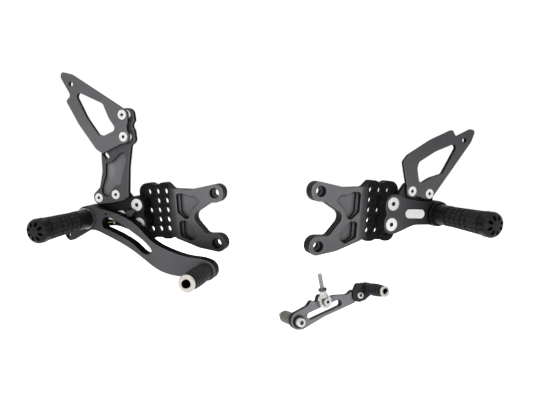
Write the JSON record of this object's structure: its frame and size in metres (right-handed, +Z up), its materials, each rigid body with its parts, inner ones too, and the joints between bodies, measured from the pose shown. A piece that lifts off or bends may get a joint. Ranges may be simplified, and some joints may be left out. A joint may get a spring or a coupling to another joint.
{
  "type": "motorcycle rearset foot peg set",
  "caption": "Race foot peg set: drilled mounting plates, peg carriers with grooved pegs, heel guards, slotted brake pedal and a loose shift lever with a rod end.",
  "frame": {"origin": "axis of the brake side's upper frame bolt hole, at the back face of its mounting plate", "axes": "+X from the brake side to the shift side, +Y away from the viewer, +Z up"},
  "size_m": [0.5406, 0.1609, 0.3428],
  "materials": {
    "black_anodised": "satin anodised",
    "black_grip": "matt anodised, grooved and knurled",
    "black_ribs": "matt anodised, ribbed",
    "zinc_steel": "bright zinc plated",
    "dark_steel": "black oxide",
    "bare_aluminium": "turned, bright",
    "olive_aluminium": "dark anodised, knurled",
    "galvanised": "grey galvanised thread",
    "spring_wire": "yellow passivated wire",
    "bronze": "oiled bronze",
    "white_badge": "gloss"
  },
  "bodies": {
    "set": {"brake_mounting_plate": "black_anodised", "brake_peg_carrier": "black_anodised", "brake_carrier_bolts": "zinc_steel", "brake_blank_badge": "white_badge", "brake_heel_guard": "black_anodised", "brake_guard_screws": "zinc_steel", "brake_foot_peg": "black_grip", "brake_peg_end_cap": "black_grip", "brake_peg_cap_stud": "dark_steel", "brake_peg_bolt": "dark_steel", "brake_peg_set_screw": "dark_steel", "shift_mounting_plate": "black_anodised", "shift_peg_carrier": "black_anodised", "shift_carrier_bolts": "zinc_steel", "shift_blank_badge": "white_badge", "shift_heel_guard": "black_anodised", "shift_guard_screws": "zinc_steel", "shift_foot_peg": "black_grip", "shift_peg_end_cap": "black_grip", "shift_peg_cap_stud": "dark_steel", "shift_peg_bolt": "dark_steel", "shift_peg_set_screw": "dark_steel", "shift_peg_flange": "black_anodised", "upright_bracket": "black_anodised", "bracket_screws": "zinc_steel", "bracket_spacers": "bare_aluminium", "guard_spacers": "bare_aluminium", "pedal_pivot_sleeve": "zinc_steel", "pedal_outer_washer": "zinc_steel", "pedal_stop_screw": "dark_steel", "pedal_return_spring": "spring_wire", "spring_pin": "zinc_steel", "lever_pivot_spacer": "olive_aluminium", "lever_pivot_washer": "dark_steel", "lever_pivot_bolt": "zinc_steel"},
    "pedal": {"brake_pedal": "black_anodised", "pedal_bushes": "bronze", "brake_toe_sleeve": "black_ribs", "brake_toe_core": "bare_aluminium", "brake_toe_bolt": "dark_steel"},
    "lever": {"lever_arm": "black_anodised", "lever_bushes": "bronze", "rod_end_washer": "zinc_steel", "rod_end_ball": "zinc_steel", "rod_end_bolt": "zinc_steel", "elbow_screw": "zinc_steel"},
    "link": {"rod_end_eye": "zinc_steel", "grease_nipple": "bronze", "lock_nut": "dark_steel", "link_rod": "galvanised"},
    "elbow": {"toe_elbow": "black_anodised", "shift_toe_sleeve": "black_ribs", "shift_toe_core": "bare_aluminium", "shift_toe_stud": "dark_steel"}
  },
  "joints": [
    {"name": "pedal_pivot", "type": "hinge", "parent": "set", "child": "pedal", "pos_m": [-0.17128, 0.02169, -0.03538], "axis": [-0.3072, -0.9511, -0.0314], "range_deg": [-14, 0], "stiffness_Nm_per_rad": 1.5, "springref_deg": 25.78, "deforming": ["pedal_return_spring"]},
    {"name": "lever_pivot", "type": "hinge", "parent": "set", "child": "lever", "pos_m": [0.1037, 0.004, -0.1741], "axis": [0.3645, -0.9114, 0.1908], "range_deg": [-15, 15]},
    {"name": "rod_end_swivel", "type": "hinge", "parent": "lever", "child": "link", "pos_m": [0.13972, 0.01626, -0.15028], "axis": [0.3645, -0.9114, 0.1908], "range_deg": [-25, 25]},
    {"name": "toe_elbow_set", "type": "hinge", "parent": "lever", "child": "elbow", "pos_m": [0.19021, 0.04353, -0.15054], "axis": [0.3645, -0.9114, 0.1908], "range_deg": [-20, 20]}
  ]
}
